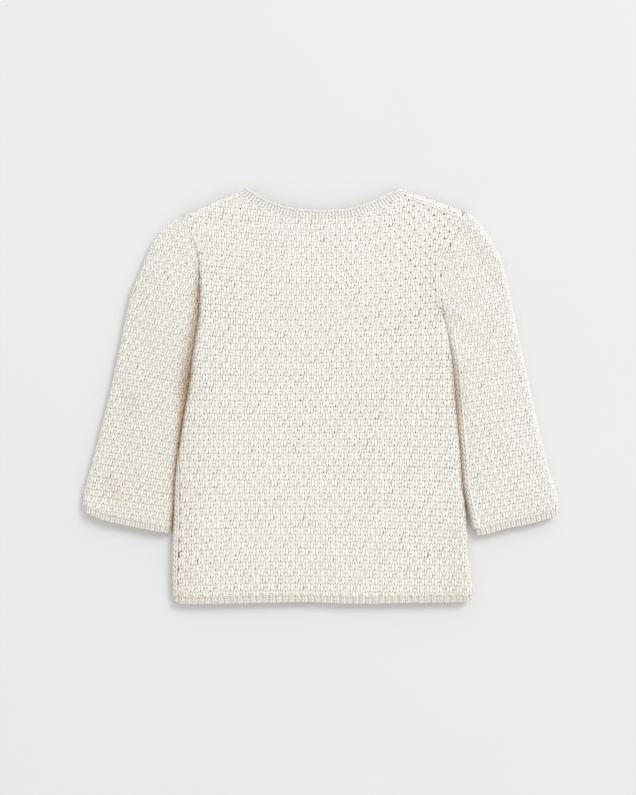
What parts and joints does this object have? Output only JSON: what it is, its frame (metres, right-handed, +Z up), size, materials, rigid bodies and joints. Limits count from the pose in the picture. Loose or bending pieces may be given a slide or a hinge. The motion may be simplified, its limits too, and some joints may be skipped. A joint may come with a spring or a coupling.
{
  "type": "baby cardigan",
  "caption": "Chunky knitted baby cardigan in cream cotton, buttoned and laid flat on its front, with puffed long sleeves, ribbed neckband, cuffs and hem, and a button band below.",
  "frame": {"origin": "on the surface that the cardigan lies on, under the middle of its outline", "axes": "+X to the side that lies right when the back is looked at with the neck at the top, +Y to the neck, +Z up from the surface, out of the back"},
  "size_m": [0.3799, 0.3335, 0.0092],
  "materials": {
    "tuck_knit": "matte chunky cotton knit with a honeycomb of raised stitches",
    "rib_knit": "matte cotton rib",
    "band_knit": "matte cotton band",
    "button": "satin moulded plastic"
  },
  "bodies": {
    "root": {"back": "tuck_knit", "front_left": "tuck_knit", "front_right": "tuck_knit", "sleeve_left": "tuck_knit", "sleeve_right": "tuck_knit", "hem_back": "rib_knit", "hem_front_left": "rib_knit", "hem_front_right": "rib_knit", "cuff_left": "rib_knit", "cuff_right": "rib_knit", "neckband": "rib_knit", "button_band_right": "band_knit", "button_band_left": "band_knit", "button_1": "button", "button_2": "button", "button_3": "button", "button_4": "button", "button_5": "button"}
  },
  "joints": []
}
